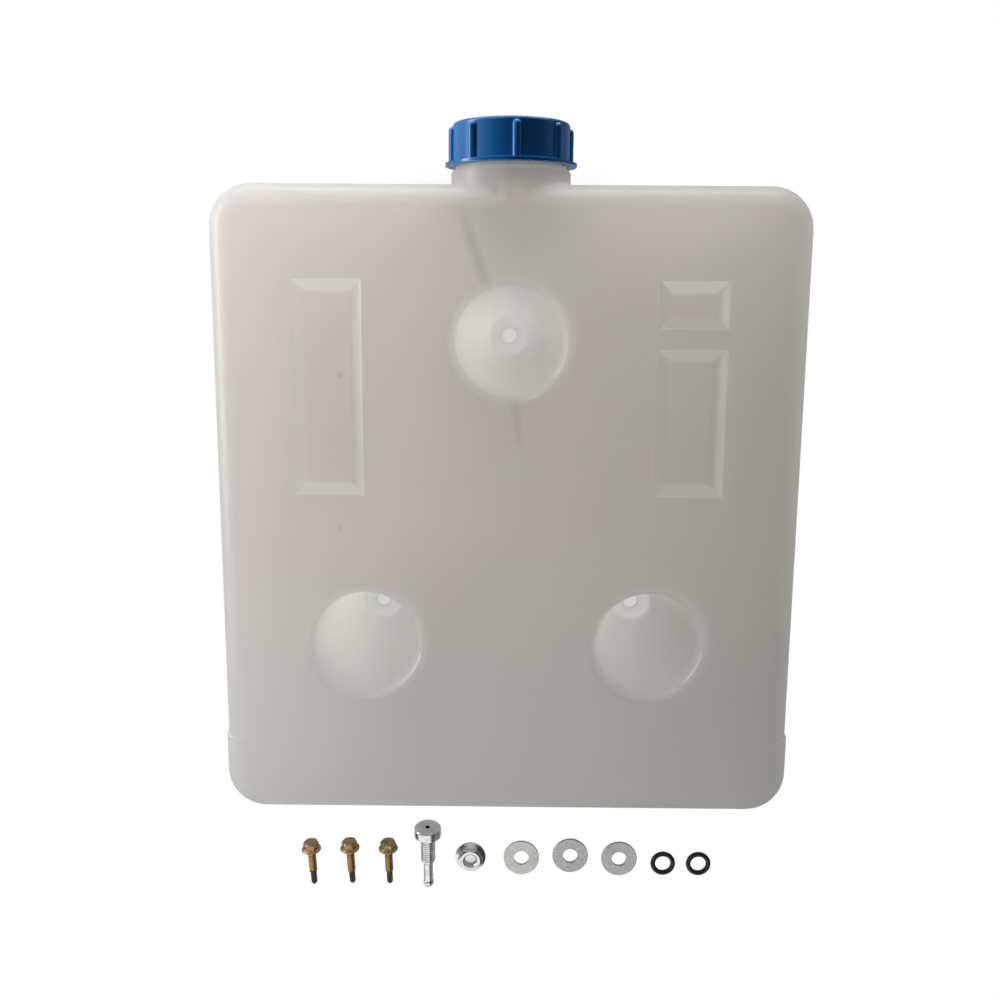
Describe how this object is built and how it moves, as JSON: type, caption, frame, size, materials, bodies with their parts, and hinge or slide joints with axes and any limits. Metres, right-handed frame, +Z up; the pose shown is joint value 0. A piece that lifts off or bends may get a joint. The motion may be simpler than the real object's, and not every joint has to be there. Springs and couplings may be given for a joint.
{
  "type": "diesel heater fuel tank",
  "caption": "Flat moulded fuel tank with funnel-shaped fixing wells, a ribbed screw cap on a short neck, and its loose screws, washers and outlet fitting.",
  "frame": {"origin": "middle of the flat back face, which is the mounting face and rests on the surface", "axes": "+X to the right seen from the front, +Y towards the filler, +Z up, out of the front face"},
  "size_m": [0.3404, 0.5082, 0.1026],
  "materials": {
    "tank_plastic": "milky translucent polyethylene, satin, slightly waxy",
    "cap_plastic": "glossy blue injection-moulded plastic",
    "gasket_foam": "soft white sealing foam",
    "yellow_zinc": "yellow-passivated zinc on steel",
    "bright_zinc": "bright zinc on turned steel",
    "dull_zinc": "dull tumbled zinc on stamped steel",
    "black_rubber": "black nitrile rubber, satin"
  },
  "bodies": {
    "tank": {"tank_shell": "tank_plastic", "mounting_screw_1": "yellow_zinc", "mounting_screw_2": "yellow_zinc", "mounting_screw_3": "yellow_zinc", "outlet_fitting": "bright_zinc", "outlet_nut": "bright_zinc", "flat_washer_1": "dull_zinc", "flat_washer_2": "dull_zinc", "flat_washer_3": "dull_zinc", "o_ring_1": "black_rubber", "o_ring_2": "black_rubber"},
    "gasket": {"cap_gasket": "gasket_foam"},
    "cap": {"filler_cap": "cap_plastic"}
  },
  "joints": [
    {"name": "cap_lift", "type": "slide", "parent": "tank", "child": "gasket", "axis": [0, 1, 0], "range_m": [0, 0.0241]},
    {"name": "cap_turn", "type": "hinge", "parent": "gasket", "child": "cap", "pos_m": [0, 0.2, 0.065], "axis": [0, 1, 0], "range_deg": [0, 1440]}
  ],
  "couplings": [
    {"joint": "cap_lift", "follows": "cap_turn", "m_per_rad": 0.00095493}
  ]
}
